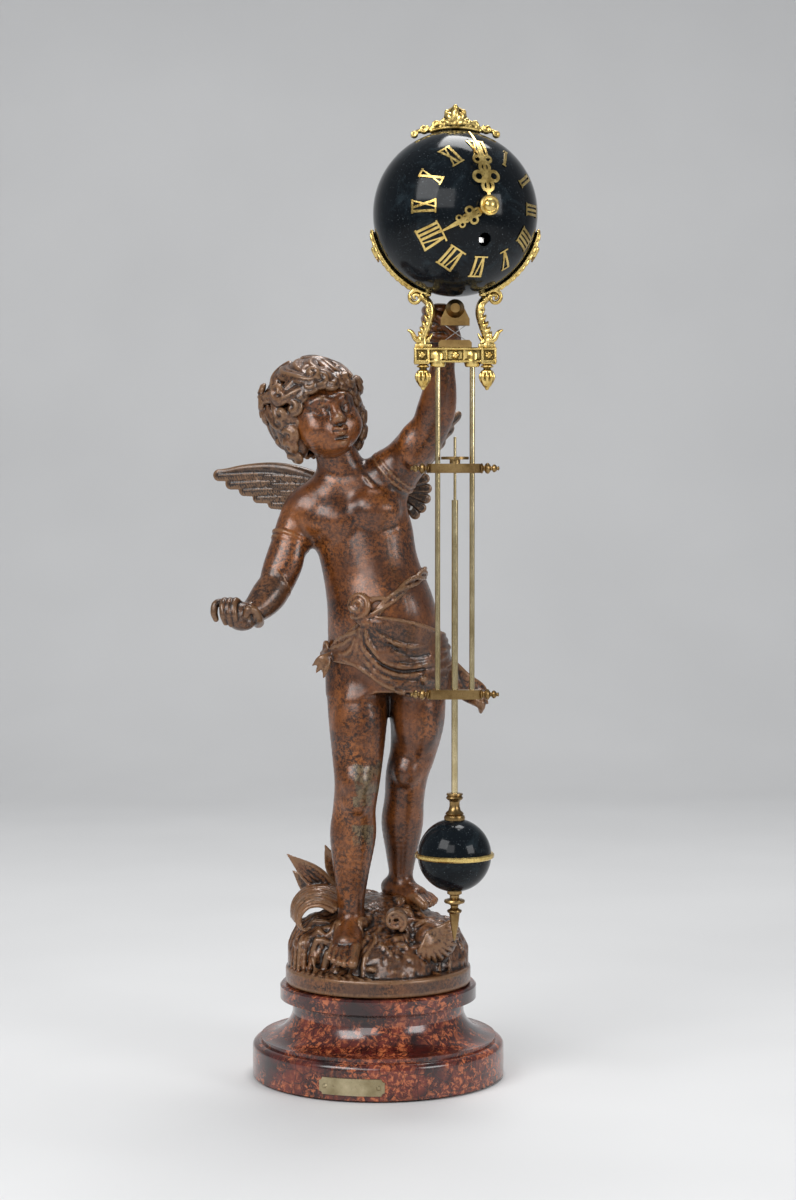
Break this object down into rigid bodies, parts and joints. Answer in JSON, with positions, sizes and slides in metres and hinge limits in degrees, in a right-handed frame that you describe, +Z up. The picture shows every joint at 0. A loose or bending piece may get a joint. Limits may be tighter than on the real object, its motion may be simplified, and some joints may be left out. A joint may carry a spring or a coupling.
{
  "type": "mystery clock",
  "caption": "Swinging ball clock: a winged putto on a turned base holds up a frame that swings on crossed springs, with a ball clock above the pivot and a pendulum bob below.",
  "frame": {"origin": "middle of the base's underside, on the surface it stands on", "axes": "+Z up, -Y towards the viewer of the picture, +X to the viewer's right"},
  "size_m": [0.2348, 0.2114, 0.6889],
  "materials": {
    "felt": "pressed felt",
    "marbled_base": "gloss paint over turned wood",
    "steel": "satin",
    "plate_brass": "engraver's brass, bare",
    "bronze_patina": "brown patina on cast metal, satin",
    "hanger_brass": "aged",
    "gilt": "gilt castings",
    "rod_brass": "drawn, polished",
    "turned_brass": "turned, aged",
    "black_enamel": "gloss",
    "movement_brass": "machined",
    "weight": "cast"
  },
  "bodies": {
    "stand": {"base_felt": "felt", "base_turning": "marbled_base", "tie_rod": "steel", "tie_nut": "steel", "name_plate": "plate_brass", "plate_pins": "plate_brass", "ground_casting": "bronze_patina", "right_leg": "bronze_patina", "left_leg": "bronze_patina", "torso": "bronze_patina", "head": "bronze_patina", "right_arm": "bronze_patina", "left_arm": "bronze_patina", "right_wing": "bronze_patina", "left_wing": "bronze_patina", "wing_screws": "steel", "loincloth": "bronze_patina", "hanger_stud": "hanger_brass", "hanger_plate": "hanger_brass", "hanger_nut": "hanger_brass", "suspension_springs": "steel"},
    "swinger": {"lower_chop": "hanger_brass", "frame_bar": "gilt", "cradle_left": "gilt", "cradle_right": "gilt", "crest": "gilt", "bar_drops": "gilt", "side_rods": "rod_brass", "upper_crossbar": "turned_brass", "lower_crossbar": "turned_brass", "crossbar_finials": "turned_brass", "case_screws": "turned_brass", "dial_shell": "black_enamel", "back_shell": "black_enamel", "numerals": "gilt", "front_plate": "movement_brass", "back_plate": "movement_brass", "plate_pillars": "movement_brass"},
    "bob": {"centre_rod": "rod_brass", "bob_collar": "turned_brass", "bob_upper_shell": "black_enamel", "bob_lower_shell": "black_enamel", "bob_ring": "gilt", "bob_weight": "weight", "bob_finial": "turned_brass"},
    "rating": {"rating_nut": "turned_brass"},
    "minute": {"centre_wheel": "movement_brass", "minute_hand": "gilt", "hand_nut": "gilt"},
    "hour": {"hour_wheel": "movement_brass", "hour_hand": "gilt"},
    "motion_wheel": {"minute_wheel": "movement_brass"},
    "going_barrel": {"barrel": "movement_brass", "mainspring": "steel"},
    "winder": {"winding_arbor": "steel"},
    "click_lever": {"click": "steel"},
    "third": {"third_wheel": "movement_brass"},
    "escape": {"escape_wheel": "movement_brass"},
    "escapement": {"anchor": "steel", "inner_pendulum": "movement_brass"}
  },
  "joints": [
    {"name": "swing", "type": "hinge", "parent": "stand", "child": "swinger", "pos_m": [0.054, -0.06, 0.5327], "axis": [0, 1, 0], "range_deg": [-3.5, 3.5], "deforming": ["suspension_springs"]},
    {"name": "rating_turn", "type": "hinge", "parent": "swinger", "child": "rating", "pos_m": [0.054, -0.06, 0.4446], "axis": [0, 0, 1], "range_deg": [-1441, 1441]},
    {"name": "bob_lift", "type": "slide", "parent": "swinger", "child": "bob", "axis": [0, 0, 1], "range_m": [-0.0028, 0.0028]},
    {"name": "minute_turn", "type": "hinge", "parent": "swinger", "child": "minute", "pos_m": [0.0755, -0.11601, 0.6147], "axis": [-0.3584, 0.9336, 0], "continuous": true},
    {"name": "hour_turn", "type": "hinge", "parent": "swinger", "child": "hour", "pos_m": [0.07479, -0.11415, 0.6147], "axis": [-0.3584, 0.9336, 0], "continuous": true},
    {"name": "motion_wheel_turn", "type": "hinge", "parent": "swinger", "child": "motion_wheel", "pos_m": [0.06908, -0.07028, 0.6207], "axis": [-0.3584, 0.9336, 0], "continuous": true},
    {"name": "barrel_turn", "type": "hinge", "parent": "swinger", "child": "going_barrel", "pos_m": [0.054, -0.06, 0.5927], "axis": [-0.3584, 0.9336, 0], "continuous": true},
    {"name": "third_turn", "type": "hinge", "parent": "swinger", "child": "third", "pos_m": [0.04244, -0.06444, 0.62826], "axis": [-0.3584, 0.9336, 0], "continuous": true},
    {"name": "escape_turn", "type": "hinge", "parent": "swinger", "child": "escape", "pos_m": [0.054, -0.06, 0.6387], "axis": [-0.3584, 0.9336, 0], "continuous": true},
    {"name": "anchor_swing", "type": "hinge", "parent": "swinger", "child": "escapement", "pos_m": [0.054, -0.06, 0.6517], "axis": [-0.3584, 0.9336, 0], "range_deg": [-3, 3]},
    {"name": "winding_turn", "type": "hinge", "parent": "swinger", "child": "winder", "pos_m": [0.06117, -0.07867, 0.5927], "axis": [-0.3584, 0.9336, 0], "range_deg": [0, 1800]},
    {"name": "click_lift", "type": "hinge", "parent": "swinger", "child": "click_lever", "pos_m": [0.07115, -0.06841, 0.5877], "axis": [-0.3584, 0.9336, 0], "range_deg": [0, 10], "stiffness_Nm_per_rad": 0.002}
  ],
  "couplings": [
    {"joint": "rating_turn", "follows": "bob_lift", "rad_per_m": 8976},
    {"joint": "hour_turn", "follows": "minute_turn", "ratio": 0.083333},
    {"joint": "motion_wheel_turn", "follows": "minute_turn", "ratio": -0.33333},
    {"joint": "barrel_turn", "follows": "minute_turn", "ratio": -0.15789},
    {"joint": "third_turn", "follows": "minute_turn", "ratio": -7.5},
    {"joint": "escape_turn", "follows": "minute_turn", "ratio": 60}
  ]
}
